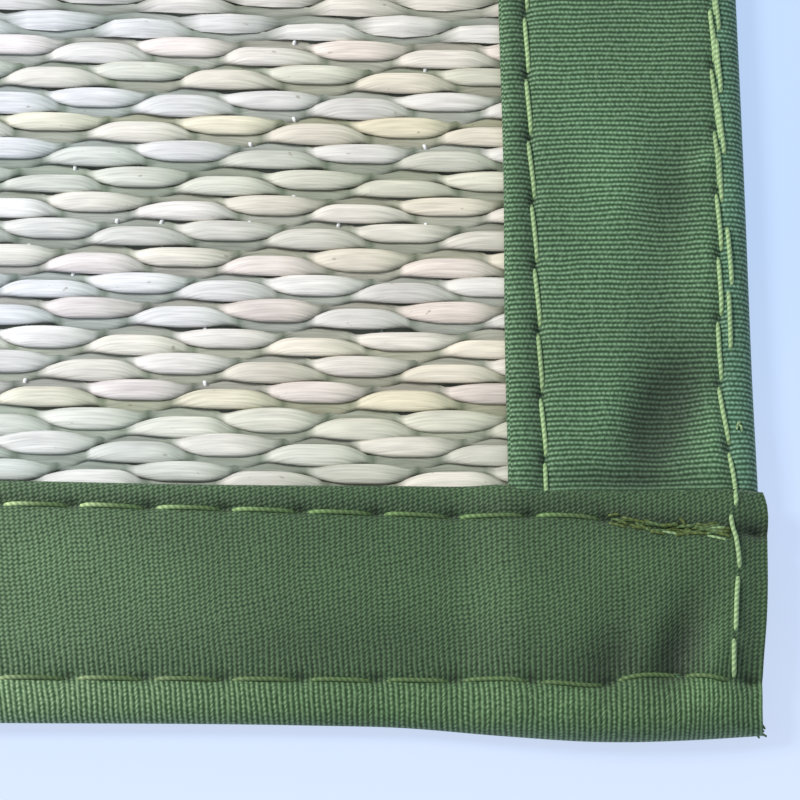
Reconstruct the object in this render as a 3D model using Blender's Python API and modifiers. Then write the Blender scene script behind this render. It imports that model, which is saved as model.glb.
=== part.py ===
"""Woven mat: a panel of pale flat reeds woven over thin warps, its four edges held in folded cloth bindings.

Metres, +Z up. X runs along the reeds, Y along the warps. The origin is under the middle of the mat, on
the surface it lies on. The front end is at -Y. The end bindings lap over the ends of the side bindings,
so each corner holds both, one inside the other.
"""

import math

import bmesh
import bpy

# Driving dimensions
MAT_WIDTH = 0.400
MAT_LENGTH = 0.600
BINDING_WIDTH = 0.024
CLOTH = 0.001
GAP = 0.0003
PANEL_THICKNESS = 0.0024
RIM_THICKNESS = 0.0010

# The end bindings are a little longer than the mat is wide, and their short ends droop over its sides.
END_OVERHANG = 0.0007
END_DROOP = 0.0008
DROOP_REACH = 0.0018

# The woven panel's ribs: one for each pair of reeds.
RIB_PITCH = 0.00284
RIB_DEPTH = 0.0003

# The panel and the bindings rise over this length where they go into a binding.
RAMP = 0.013

# How far the side bindings' folds wander from a straight line: two waves, the second one shorter.
SWAY = 0.0001
SWAY_LENGTH = 0.140
SECOND_WAVE = 2.3
SECOND_START = 1.0

# Facets: the longest step along a binding, and the segments round its fold.
STATION_STEP = 0.040
NOSE_SEGMENTS = 8
SHARP_ANGLE = math.radians(50)
FLAT_ANGLE = math.radians(0.05)

# The front binding's outer fold near the right corner. The back binding is the same turned half round.
OUTER_FOLD = (
    # in from the binding's end, out from the straight edge
    (0.0000, 0.0001),
    (0.0060, 0.0006),
    (0.0160, 0.0009),
    (0.0260, 0.0005),
    (0.0360, -0.0001),
    (0.0500, -0.0002),
    (0.0750, 0.0000),
)
MOST_OUT = max(out for _, out in OUTER_FOLD)

# Derived sizes
FOLD_HEIGHT = 2 * CLOTH + 2 * GAP + RIM_THICKNESS
CORNER_LIFT = CLOTH + GAP
SIDE_OUTER = MAT_WIDTH / 2 - END_OVERHANG
SIDE_INNER = SIDE_OUTER - BINDING_WIDTH
END_OUTER = MAT_LENGTH / 2 - MOST_OUT
END_INNER = END_OUTER - BINDING_WIDTH
PANEL_HALF_WIDTH = SIDE_OUTER - FOLD_HEIGHT / 2
PANEL_HALF_LENGTH = END_OUTER - FOLD_HEIGHT / 2
SIDE_HALF_LENGTH = END_OUTER - FOLD_HEIGHT / 2 - CORNER_LIFT
SIDE_RAMP_END = SIDE_INNER - GAP
END_RAMP_END = END_INNER - GAP
END_HALF_WIDTH = MAT_WIDTH / 2 - CLOTH / 2 * math.sin(math.atan2(END_DROOP, DROOP_REACH))

REED_COLOUR = (0.56, 0.57, 0.52, 1.0)
CLOTH_COLOUR = (0.10, 0.17, 0.10, 1.0)
REED_ROUGHNESS = 0.45
CLOTH_ROUGHNESS = 0.85


def ramp(distance, ramp_end):
    """0 before the ramp, 1 past its end, straight between them."""
    return min(max((abs(distance) - ramp_end) / RAMP + 1, 0), 1)


def sway(along):
    """The small wander of a side binding's fold at this place along it."""
    turn = 2 * math.pi * along / SWAY_LENGTH
    return SWAY * (math.sin(turn) + math.sin(SECOND_WAVE * turn + SECOND_START)) / 2


def outer_fold(from_end):
    """How far an end binding's fold stands out, this far in from the end that the table describes."""
    for (near, near_out), (far, far_out) in zip(OUTER_FOLD, OUTER_FOLD[1:]):
        if near <= from_end <= far:
            return near_out + (far_out - near_out) * (from_end - near) / (far - near)
    return 0.0


def spread(stops, step):
    """The stops in order, with even ones between them at most a step apart."""
    stops = sorted(stops)
    places = [stops[0]]
    for start, end in zip(stops, stops[1:]):
        count = max(1, math.ceil((end - start) / step))
        places += [start + (end - start) * k / count for k in range(1, count + 1)]
    return places


def both_ways(distances):
    return [-distance for distance in distances] + list(distances)


def cloth_material(name, colour, roughness):
    material = bpy.data.materials.new(name)
    material.use_nodes = True
    shader = material.node_tree.nodes["Principled BSDF"]
    shader.inputs["Base Color"].default_value = colour
    shader.inputs["Roughness"].default_value = roughness
    shader.inputs["Metallic"].default_value = 0.0
    return material


def grid_object(name, material, collection, columns, rows, place):
    """A grid primitive whose point at (column, row) is moved to place(column, row)."""
    shape = bmesh.new()
    bmesh.ops.create_grid(shape, x_segments=len(columns) - 1, y_segments=len(rows) - 1, size=1)
    for vert in shape.verts:
        column = round((vert.co.x + 1) / 2 * (len(columns) - 1))
        row = round((vert.co.y + 1) / 2 * (len(rows) - 1))
        vert.co = place(columns[column], rows[row])
    mesh = bpy.data.meshes.new(name)
    shape.to_mesh(mesh)
    shape.free()
    mesh.materials.append(material)
    piece = bpy.data.objects.new(name, mesh)
    collection.objects.link(piece)
    return piece


def panel_top(x, y, rib):
    """The panel's upper face: ribbed in the open, and plain where a binding grips its rim."""
    across = ramp(x, SIDE_RAMP_END)
    along = ramp(y, END_RAMP_END)
    gripped = across + along - across * along
    rim_top = CLOTH + GAP + RIM_THICKNESS
    open_top = PANEL_THICKNESS - RIB_DEPTH * rib
    return open_top + (rim_top - open_top) * gripped + CORNER_LIFT * across * along


def panel_bottom(x, y):
    """The panel's lower face: on the floor in the open, and lifted where a binding lies under it."""
    across = ramp(x, SIDE_RAMP_END)
    along = ramp(y, END_RAMP_END)
    gripped = across + along - across * along
    return (CLOTH + GAP) * gripped + CORNER_LIFT * across * along


def merge_flat_faces(shape, faces):
    edges = {edge for face in faces for edge in face.edges}
    verts = {vert for face in faces for vert in face.verts}
    bmesh.ops.dissolve_limit(shape, angle_limit=FLAT_ANGLE, verts=list(verts), edges=list(edges))


def make_panel(material, collection):
    ribs = math.floor(END_RAMP_END / RIB_PITCH)
    half_ribs = range(-2 * ribs, 2 * ribs + 1)
    rows = [(k * RIB_PITCH / 2, k % 2) for k in half_ribs]
    rows = [(-END_RAMP_END, 1)] + rows + [(END_RAMP_END, 1)]
    rows = [(-PANEL_HALF_LENGTH, 1)] + rows + [(PANEL_HALF_LENGTH, 1)]
    columns = sorted(both_ways([SIDE_RAMP_END - RAMP, SIDE_RAMP_END, PANEL_HALF_WIDTH]))

    def place(x, row):
        y, rib = row
        return x, y, panel_top(x, y, rib)

    panel = grid_object("woven_panel", material, collection, columns, rows, place)
    shape = bmesh.new()
    shape.from_mesh(panel.data)
    grown = bmesh.ops.extrude_face_region(shape, geom=shape.faces[:], use_keep_orig=True)
    lower = [item for item in grown["geom"] if isinstance(item, bmesh.types.BMVert)]
    for vert in lower:
        vert.co.z = panel_bottom(vert.co.x, vert.co.y)
    bmesh.ops.recalc_face_normals(shape, faces=shape.faces[:])
    merge_flat_faces(shape, [face for face in shape.faces if face.normal.z <= 0])
    shape.to_mesh(panel.data)
    shape.free()
    return panel


def fold_profile(width, height):
    """The middle of a strip folded round an edge, as (inward from the fold's outside, up) points.

    It runs from the lower inner edge out round the fold and back to the upper inner edge. The fold is
    a half circle that takes up the whole height.
    """
    radius = (height - CLOTH) / 2
    centre = height / 2
    turns = [math.pi * k / NOSE_SEGMENTS for k in range(NOSE_SEGMENTS + 1)]
    nose = [(centre - radius * math.sin(turn), centre - radius * math.cos(turn)) for turn in turns]
    return [(width, CLOTH / 2), (width / 2, CLOTH / 2)] + nose + [
        (width / 2, height - CLOTH / 2),
        (width, height - CLOTH / 2),
    ]


def make_binding(name, material, collection, stations, section, place):
    """A strip folded over an edge: its middle surface as a grid, made cloth thick by Solidify.

    section(station) gives the fold's height, its lift off the floor and its outer edge there.
    """
    steps = range(len(fold_profile(BINDING_WIDTH, FOLD_HEIGHT)))

    def middle(station, step):
        height, lift, outer = section(station)
        inward, up = fold_profile(BINDING_WIDTH + outer, height)[step]
        return place(station, inward - outer, up + lift)

    strip = grid_object(name, material, collection, stations, list(steps), middle)
    strip.data.shade_smooth()
    strip.data.set_sharp_from_angle(angle=SHARP_ANGLE)
    solid = strip.modifiers.new("Cloth thickness", "SOLIDIFY")
    solid.thickness = CLOTH
    solid.offset = 0
    solid.use_even_offset = True
    return strip


def make_side_binding(name, side, material, collection):
    stops = both_ways([END_RAMP_END - RAMP, END_RAMP_END, SIDE_HALF_LENGTH])

    def section(y):
        return FOLD_HEIGHT, CORNER_LIFT * ramp(y, END_RAMP_END), sway(y + side * SWAY_LENGTH / 3)

    def place(y, inward, z):
        return side * (SIDE_OUTER - inward), y, z

    return make_binding(name, material, collection, spread(stops, STATION_STEP), section, place)


def make_end_binding(name, end, material, collection):
    stops = both_ways([SIDE_RAMP_END - RAMP, SIDE_RAMP_END, END_HALF_WIDTH - DROOP_REACH, END_HALF_WIDTH])
    stops += [-end * (END_HALF_WIDTH - from_end) for from_end, _ in OUTER_FOLD[1:]]

    def section(x):
        droop = max(abs(x) - END_HALF_WIDTH + DROOP_REACH, 0) / DROOP_REACH * END_DROOP
        height = FOLD_HEIGHT + 2 * CORNER_LIFT * ramp(x, SIDE_RAMP_END) - droop
        return height, 0.0, outer_fold(END_HALF_WIDTH + end * x)

    def place(x, inward, z):
        return x, end * (END_OUTER - inward), z

    return make_binding(name, material, collection, spread(stops, STATION_STEP), section, place)


def clear_scene():
    for item in list(bpy.data.objects):
        bpy.data.objects.remove(item, do_unlink=True)


def main():
    clear_scene()
    collection = bpy.data.collections.new("woven_mat")
    bpy.context.scene.collection.children.link(collection)
    make_panel(cloth_material("reed", REED_COLOUR, REED_ROUGHNESS), collection)
    for name, side in (("side_binding_right", 1), ("side_binding_left", -1)):
        make_side_binding(name, side, cloth_material(name, CLOTH_COLOUR, CLOTH_ROUGHNESS), collection)
    for name, end in (("end_binding_front", -1), ("end_binding_back", 1)):
        make_end_binding(name, end, cloth_material(name, CLOTH_COLOUR, CLOTH_ROUGHNESS), collection)


main()
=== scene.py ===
"""Woven mat, dressed: single reeds over thin warps, four folded cloth bindings, and their sewing.

The reeds and threads are small, so lengths here are in millimetres, and turn into metres when a mesh is
made. X runs along the reeds and Y along the warps, as in the CAD model.
"""

import math

import bpy
import numpy as np
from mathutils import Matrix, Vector


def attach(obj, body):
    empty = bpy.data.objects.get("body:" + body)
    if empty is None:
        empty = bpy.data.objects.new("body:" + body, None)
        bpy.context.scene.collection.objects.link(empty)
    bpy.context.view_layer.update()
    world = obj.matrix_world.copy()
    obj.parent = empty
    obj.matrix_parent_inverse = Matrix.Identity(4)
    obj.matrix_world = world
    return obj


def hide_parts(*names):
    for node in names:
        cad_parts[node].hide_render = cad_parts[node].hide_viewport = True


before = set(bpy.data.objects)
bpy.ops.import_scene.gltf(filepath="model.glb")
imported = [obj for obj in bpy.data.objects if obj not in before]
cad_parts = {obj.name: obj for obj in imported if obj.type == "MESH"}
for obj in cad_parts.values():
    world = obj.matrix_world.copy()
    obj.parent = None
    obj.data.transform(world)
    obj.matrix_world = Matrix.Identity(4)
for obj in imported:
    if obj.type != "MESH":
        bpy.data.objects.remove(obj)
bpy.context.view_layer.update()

SEED = 1453

# The CAD model's sizes that these pieces follow.
SIDE_OUTER = 199.3
END_OUTER = 299.1
END_HALF_WIDTH = 199.8
BINDING_WIDTH = 24.0
PANEL_HALF_WIDTH = 197.0
PANEL_HALF_LENGTH = 296.6
SIDE_HALF_LENGTH = 296.0

# The weave: each reed goes over two warps and under two.
WARP_PITCH = 4.3
WARP_SHIFT = 0.1
WARP_RADIUS = 0.13
REPEAT = 4 * WARP_PITCH
PAIR_PITCH = 2.836
FIRST_PAIR = -245.6
PAIR_PHASES = ((1, 3), (0, 2), (3, 1), (2, 0))
MIDDLE = 1.2
REED_WAVE = 0.48
REED_HALF_THICKNESS = 0.46
REED_SQUARENESS = 0.75
REED_GIRTH = 4.4
REED_PIECES = 5

# Past this, inside the side bindings, the reeds lie flat.
HIDDEN_X = 185.0

# Some warps show between two pairs, as a short swollen bit that stands proud.
WARP_DEPTH = 0.60
PROUD_SHARE = 0.12
PROUD_PAIRS = (-11, 7)
PROUD_RISE = 0.72
PROUD_SWELL = 0.6

# The panel rises by LIFT and is squeezed where a binding grips it, and rises again inside a corner.
RAMP = 13.0
SIDE_GRIP = 175.0
END_GRIP = 274.8
LIFT = 0.33
CORNER_LIFT = 0.55
SQUEEZE = 0.78

# The part of the mat that the camera sees, made finer.
NEAR_X = (118.0, 184.0)
NEAR_Y = (-278.0, -226.0)

# The binding cloth and its sewing.
CLOTH = 0.28
HEM = 0.60
HEM_DEPTH = 6.0
FOLD_MIDDLE = 1.5
UPPER_FACE = 3.38
SIDE_STITCH = 6.85
END_STITCH = 7.2
THREAD_RADIUS = 0.23
LOWEST_THREAD = 0.02
RIB = 0.515
CROSS = 0.44
BRICK = 0.22


def smooth(value, low, high):
    """0 below low, 1 above high, and an easy curve between them."""
    share = np.clip((value - low) / (high - low), 0, 1)
    return share * share * (3 - 2 * share)


def bell(value, middle, width):
    return np.exp(-(((value - middle) / width) ** 2))


def hand_line(table, value):
    """A value between the points of a given table of (place, value), eased at each point."""
    table = sorted(table)
    places = np.array([row[0] for row in table])
    values = np.array([row[1] for row in table])
    slope = np.gradient(values, places)
    value = np.clip(value, places[0], places[-1])
    index = np.clip(np.searchsorted(places, value) - 1, 0, len(places) - 2)
    span = places[index + 1] - places[index]
    t = (value - places[index]) / span
    keep = (2 * t**3 - 3 * t**2 + 1) * values[index] + (3 * t**2 - 2 * t**3) * values[index + 1]
    bend = (t**3 - 2 * t**2 + t) * slope[index] + (t**3 - t**2) * slope[index + 1]
    return keep + bend * span


def link(piece):
    """Put a finished piece in the scene, on the one body."""
    bpy.context.scene.collection.objects.link(piece)
    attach(piece, "root")
    return piece


# Meshes from arrays


# How large a tube's end is on the maps, as a share of the ring's reach there.
CAP_SHARE = 0.09


def tube_mesh(name, tubes, tints, material, chart):
    """One mesh of closed tubes.

    tubes is a list of (stations, points, 3) arrays in millimetres, each ring closed on itself, and tints
    a list of (stations, points, 4) colours. chart(tube, stations, points) gives each tube's two maps of
    (stations, points + 1, 2): the cloth map and the map for baking.
    """
    places = []
    colours = []
    corners = []
    sizes = []
    cloth_map = []
    bake_map = []
    first = 0
    for number, (tube, tint) in enumerate(zip(tubes, tints)):
        stations, points = tube.shape[:2]
        places.append(tube.reshape(-1, 3) / 1000)
        colours.append(tint.reshape(-1, 4))
        index = first + np.arange(stations * points).reshape(stations, points)
        around = np.roll(index, -1, axis=1)
        quads = np.stack([index[:-1], around[:-1], around[1:], index[1:]], axis=-1)
        cloth, bake = chart(number, tube)
        corners.append(quads.reshape(-1))
        sizes.append(np.full((stations - 1) * points, 4))
        for layer, kept in ((cloth, cloth_map), (bake, bake_map)):
            parts = [layer[:-1, :-1], layer[:-1, 1:], layer[1:, 1:], layer[1:, :-1]]
            kept.append(np.stack(parts, axis=2).reshape(-1, 2))
        for ring, side in ((index[0][::-1], 0), (index[-1], -1)):
            corners.append(ring)
            sizes.append(np.array([points]))
            turn = even_turns(points)
            disc = np.stack([np.cos(turn), np.sin(turn)], axis=1)
            if side == 0:
                disc = disc[::-1]
            for layer, kept in ((cloth, cloth_map), (bake, bake_map)):
                centre = layer[side].mean(axis=0)
                reach = CAP_SHARE * np.abs(layer[side] - centre).max()
                kept.append(centre + disc * reach)
        first += stations * points
    mesh = bpy.data.meshes.new(name)
    places = np.concatenate(places)
    corners = np.concatenate(corners)
    sizes = np.concatenate(sizes)
    mesh.vertices.add(len(places))
    mesh.vertices.foreach_set("co", places.astype(np.float32).ravel())
    mesh.loops.add(len(corners))
    mesh.loops.foreach_set("vertex_index", corners.astype(np.int32))
    mesh.polygons.add(len(sizes))
    starts = np.concatenate([[0], np.cumsum(sizes)[:-1]])
    mesh.polygons.foreach_set("loop_start", starts.astype(np.int32))
    mesh.update(calc_edges=True)
    for title, values in (("cloth", cloth_map), ("OFBake", bake_map)):
        layer = mesh.uv_layers.new(name=title)
        layer.uv.foreach_set("vector", np.concatenate(values).astype(np.float32).ravel())
    tint_layer = mesh.color_attributes.new("tint", "FLOAT_COLOR", "POINT")
    tint_layer.data.foreach_set("color", np.concatenate(colours).astype(np.float32).ravel())
    mesh.shade_smooth()
    mesh.set_sharp_from_angle(angle=math.radians(75))
    mesh.materials.append(material)
    return bpy.data.objects.new(name, mesh)


def way_round(tube):
    """How far round its ring each point is, with the whole way round last."""
    sides = np.linalg.norm(np.roll(tube, -1, axis=1) - tube, axis=2)
    return np.concatenate([np.zeros((len(tube), 1)), np.cumsum(sides, axis=1)], axis=1)


def even_turns(count):
    return np.arange(count) * 2 * math.pi / count


def tinted(stations, points, colour):
    """The colours of a tube's points."""
    tints = np.ones((stations, points, 4))
    tints[:, :, :3] = colour
    return tints


def strip_chart(count, length, girth):
    """Lays each of count tubes in a strip of its own on the bake map, at an even scale."""
    columns = max(1, round(math.sqrt(count * girth / length)))
    rows = math.ceil(count / columns)

    def chart(number, tube):
        centres = tube.mean(axis=1)
        steps = np.linalg.norm(np.diff(centres, axis=0), axis=1)
        along = np.concatenate([[0], np.cumsum(steps)])
        around = way_round(tube)
        cloth = np.stack(np.broadcast_arrays(along[:, None] + 37.7 * number, around), axis=2)
        across = around / around[:, -1:]
        u = (number % columns + 0.01 + 0.98 * along[:, None] / along[-1]) / columns
        v = (number // columns + 0.06 + 0.88 * across) / rows
        return cloth, np.stack(np.broadcast_arrays(u, v), axis=2)

    return chart


# Shader nodes


class Shader:
    """Short ways to add nodes to one material."""

    def __init__(self, name):
        self.material = bpy.data.materials.new(name)
        self.material.use_nodes = True
        self.nodes = self.material.node_tree.nodes
        self.links = self.material.node_tree.links
        self.surface = self.nodes["Principled BSDF"]

    def put(self, value, socket):
        if hasattr(value, "links"):
            self.links.new(value, socket)
        else:
            socket.default_value = value

    def feed(self, name, value):
        """Gives one input of the surface its value."""
        self.put(value, self.surface.inputs[name])

    def math(self, operation, first, second=0.0, clamp=False):
        node = self.nodes.new("ShaderNodeMath")
        node.operation = operation
        node.use_clamp = clamp
        self.put(first, node.inputs[0])
        self.put(second, node.inputs[1])
        return node.outputs[0]

    def times(self, first, second):
        return self.math("MULTIPLY", first, second)

    def plus(self, first, second):
        return self.math("ADD", first, second)

    def grey(self, value):
        return self.vector(value, value, value)

    def wave(self, value, pitch, shift=0.0):
        """Half of a cosine wave's height, from 0 to 1, that repeats each pitch."""
        turn = self.times(value, 2 * math.pi / pitch)
        turned = self.plus(turn, shift)
        cosine = self.math("COSINE", turned)
        return self.plus(self.times(cosine, 0.5), 0.5)

    def mix_numbers(self, share, first, second):
        left = self.times(first, 1 - share)
        return self.plus(left, self.times(second, share))

    def mix(self, share, first, second, blend="MIX"):
        node = self.nodes.new("ShaderNodeMix")
        node.data_type = "RGBA"
        node.blend_type = blend
        self.put(share, node.inputs[0])
        self.put(first, node.inputs[6])
        self.put(second, node.inputs[7])
        return node.outputs[2]

    def noise(self, vector, scale, detail=2.0):
        node = self.nodes.new("ShaderNodeTexNoise")
        self.links.new(vector, node.inputs["Vector"])
        node.inputs["Scale"].default_value = scale
        node.inputs["Detail"].default_value = detail
        return node.outputs[0]

    def rescale(self, value, low, high, new_low, new_high):
        node = self.nodes.new("ShaderNodeMapRange")
        limits = {"From Min": low, "From Max": high, "To Min": new_low, "To Max": new_high}
        for name, limit in limits.items():
            node.inputs[name].default_value = limit
        self.links.new(value, node.inputs["Value"])
        return node.outputs[0]

    def cloth_map(self):
        node = self.nodes.new("ShaderNodeUVMap")
        node.uv_map = "cloth"
        parts = self.nodes.new("ShaderNodeSeparateXYZ")
        self.links.new(node.outputs[0], parts.inputs[0])
        return parts.outputs[0], parts.outputs[1]

    def vector(self, x, y, z=0.0):
        node = self.nodes.new("ShaderNodeCombineXYZ")
        for value, socket in zip((x, y, z), node.inputs):
            self.put(value, socket)
        return node.outputs[0]

    def tint(self):
        node = self.nodes.new("ShaderNodeAttribute")
        node.attribute_name = "tint"
        return node.outputs["Color"], node.outputs["Alpha"]

    def bump(self, height, strength, distance):
        node = self.nodes.new("ShaderNodeBump")
        node.inputs["Strength"].default_value = strength
        node.inputs["Distance"].default_value = distance / 1000
        self.links.new(height, node.inputs["Height"])
        self.links.new(node.outputs[0], self.surface.inputs["Normal"])


def reed_material():
    """Dry reed: fine streaks along it, a few specks, and a soft shine."""
    shader = Shader("reed_weave")
    along, around = shader.cloth_map()
    tint, _ = shader.tint()
    long_along = shader.times(along, 0.05)
    fine = shader.noise(shader.vector(long_along, around), 5.0, 3.0)
    broad_along = shader.times(along, 0.12)
    broad = shader.noise(shader.vector(broad_along, around, 5.0), 1.1, 2.0)
    streak = shader.rescale(fine, 0.3, 0.7, 0.80, 1.12)
    patch = shader.rescale(broad, 0.3, 0.7, 0.88, 1.08)
    shade = shader.times(streak, patch)
    colour = shader.mix(1.0, tint, shader.grey(shade), "MULTIPLY")
    short_along = shader.times(along, 0.5)
    speck = shader.noise(shader.vector(short_along, around, 9.0), 1.7, 1.0)
    spotted = shader.math("MULTIPLY", shader.rescale(speck, 0.76, 0.80, 0.0, 0.5), 1.0, clamp=True)
    colour = shader.mix(spotted, colour, (0.20, 0.17, 0.10, 1.0))
    shader.feed("Base Color", colour)
    roughness = shader.rescale(fine, 0.3, 0.7, 0.42, 0.58)
    shader.feed("Roughness", roughness)
    shader.feed("Specular IOR Level", 0.4)
    shader.bump(fine, 0.5, 0.10)
    return shader.material


# Painted shade in the holes between the threads, and the threads' own colour.
CLOTH_HOLE_SHADE = (0.018, 0.054, 0.018, 1.0)
CLOTH_THREADS = (0.215, 0.345, 0.200, 1.0)


def cloth_material():
    """Green plain weave. Its threads meet in a grid, with a dark hole between each four of them, whose dark
    colour is painted shade.
    """
    shader = Shader("binding_weave")
    along, across = shader.cloth_map()
    tint, ribbing = shader.tint()
    wide = shader.vector(along, across)
    drift = shader.rescale(shader.noise(wide, 0.22, 1.0), 0.2, 0.8, -0.14, 0.14)
    rib_place = shader.plus(along, drift)
    ribs = shader.wave(rib_place, RIB)
    count = shader.math("FLOOR", shader.plus(shader.math("DIVIDE", rib_place, RIB), 0.5))
    odd = shader.times(shader.math("MODULO", count, 2.0), BRICK)
    side_drift = shader.rescale(shader.noise(wide, 0.3, 1.0), 0.2, 0.8, -0.14, 0.14)
    cross_place = shader.plus(across, side_drift)
    crossing = shader.wave(cross_place, CROSS)
    dashes = shader.math("POWER", shader.wave(shader.plus(cross_place, odd), CROSS), 0.6)
    either = shader.math("MAXIMUM", ribs, crossing)
    both = shader.times(shader.plus(ribs, crossing), 0.5)
    square = shader.mix_numbers(0.62, either, both)
    rib_turn = shader.times(rib_place, 2 * math.pi / RIB)
    diagonal = shader.wave(cross_place, CROSS, rib_turn)
    grid = shader.rescale(shader.mix_numbers(0.34, square, diagonal), 0.20, 0.86, 0.0, 1.0)
    dashed = shader.plus(shader.times(dashes, 0.62), 0.38)
    ribbed = shader.times(shader.math("POWER", ribs, 1.35), dashed)
    share = shader.math("MULTIPLY", ribbing, 1.0, clamp=True)
    grid_part = shader.times(grid, shader.math("SUBTRACT", 1.0, share))
    threads = shader.plus(grid_part, shader.times(ribbed, share))
    uneven = shader.rescale(shader.noise(wide, 2.2, 2.0), 0.25, 0.75, -0.20, 0.20)
    threads = shader.plus(threads, uneven)
    # Painted shade: the colour goes dark in the hollows between the threads.
    light = shader.rescale(threads, 0.05, 0.95, 0.0, 1.0)
    colour = shader.mix(light, CLOTH_HOLE_SHADE, CLOTH_THREADS)
    cloudy = shader.rescale(shader.noise(wide, 0.12, 3.0), 0.3, 0.7, 0.92, 1.08)
    colour = shader.mix(1.0, colour, shader.grey(cloudy), "MULTIPLY")
    colour = shader.mix(1.0, colour, tint, "MULTIPLY")
    shader.feed("Base Color", colour)
    roughness = shader.rescale(threads, 0.0, 1.0, 0.85, 0.50)
    shader.feed("Roughness", roughness)
    shader.feed("Specular IOR Level", 0.4)
    shader.feed("Sheen Weight", 0.15)
    shader.feed("Sheen Roughness", 0.5)
    shader.bump(threads, 0.7, 0.10)
    return shader.material


def thread_material():
    """Sewing thread, twisted from plies, with painted shade in the grooves between them."""
    shader = Shader("sewing_thread")
    along, around = shader.cloth_map()
    tint, _ = shader.tint()
    lean = shader.times(around, 0.8)
    plies = shader.wave(shader.plus(along, lean), 0.55)
    # Painted shade: darker in the grooves between the plies.
    light = shader.rescale(plies, 0.0, 1.0, 0.62, 1.10)
    colour = shader.mix(1.0, tint, shader.grey(light), "MULTIPLY")
    shader.feed("Base Color", colour)
    roughness = shader.rescale(plies, 0.0, 1.0, 0.75, 0.50)
    shader.feed("Roughness", roughness)
    shader.bump(plies, 0.6, 0.06)
    return shader.material


def warp_material():
    """Pale smooth filament."""
    shader = Shader("warp_filament")
    along, around = shader.cloth_map()
    cloudy = shader.noise(shader.vector(along, around), 0.8, 2.0)
    light = shader.rescale(cloudy, 0.3, 0.7, 0.82, 0.95)
    shader.feed("Base Color", shader.grey(light))
    shader.feed("Roughness", 0.35)
    return shader.material


# The woven panel


def grip(x, y):
    """How far a place is inside the side bindings and inside the end bindings, each from 0 to 1."""
    return smooth(np.abs(x), SIDE_GRIP - RAMP, SIDE_GRIP), smooth(np.abs(y), END_GRIP - RAMP, END_GRIP)


def panel_middle(x, y):
    """The height of the middle of the weave."""
    across, along = grip(x, y)
    return MIDDLE + LIFT * (across + along - across * along) + CORNER_LIFT * across * along


def panel_squeeze(x, y):
    across, along = grip(x, y)
    return 1 - (1 - SQUEEZE) * (across + along - across * along)


def reed_places(low, high, phase, offsets):
    """Stations along a reed between low and high: offsets from the middle of each float, in pitches."""
    middle = (phase + 2.5) * WARP_PITCH + WARP_SHIFT
    first = math.floor((low - middle) / REPEAT) - 1
    last = math.ceil((high - middle) / REPEAT) + 1
    floats = np.arange(first, last + 1)
    places = (middle + floats[:, None] * REPEAT + np.array(offsets) * WARP_PITCH).ravel()
    return places[(places > low + 0.2) & (places < high - 0.2)]


REED_WIDTHS = (
    # distance from the middle of the part on top, in pitches, and half the width there
    (0.0, 1.09),
    (0.5, 1.02),
    (0.75, 0.86),
    (1.0, 0.60),
    (1.15, 0.47),
    (1.3, 0.60),
    (1.5, 0.86),
    (1.75, 1.00),
    (2.0, 1.06),
)
REED_SHIFTS = (
    # the same distance, and how far the reed lies from the middle of its pair
    (0.0, 0.40),
    (0.75, 0.44),
    (1.0, 0.56),
    (1.12, 0.68),
    (1.25, 0.80),
    (1.5, 0.86),
    (2.0, 0.84),
)
COARSE = (-1.15, -0.65, 0.0, 0.65, 1.15, 2.0)
FINE = tuple(k / 8 for k in range(-16, 16))

# Painted shade: how much darker a reed is where it lies under the warps and the reeds over it shade it, and
# at the right end of each part on top, which faces away from the light.
UNDER_PAINTED_SHADE = np.array([0.52, 0.48, 0.52])
LATE_PAINTED_SHADE = np.array([0.26, 0.21, 0.27])

# Painted light: the reeds are bluer in the middle of the mat and darker and yellower towards the side
# bindings, standing in for the colour and fall-off of the light across the mat.
MIDDLE_LIGHT_TINT = np.array([1.01, 1.01, 1.06])
SIDE_LIGHT_FALLOFF = np.array([0.06, 0.12, 0.24])

# Under the warps, the upper reed of each pair lies further out than the lower one, and a little lower.
UPPER_REED_SPREAD = 0.42
LAYERING = 0.12

# How deep the under parts lie below the middle of the weave, as a share of the top parts' height.
SHALLOW = 0.80


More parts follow.
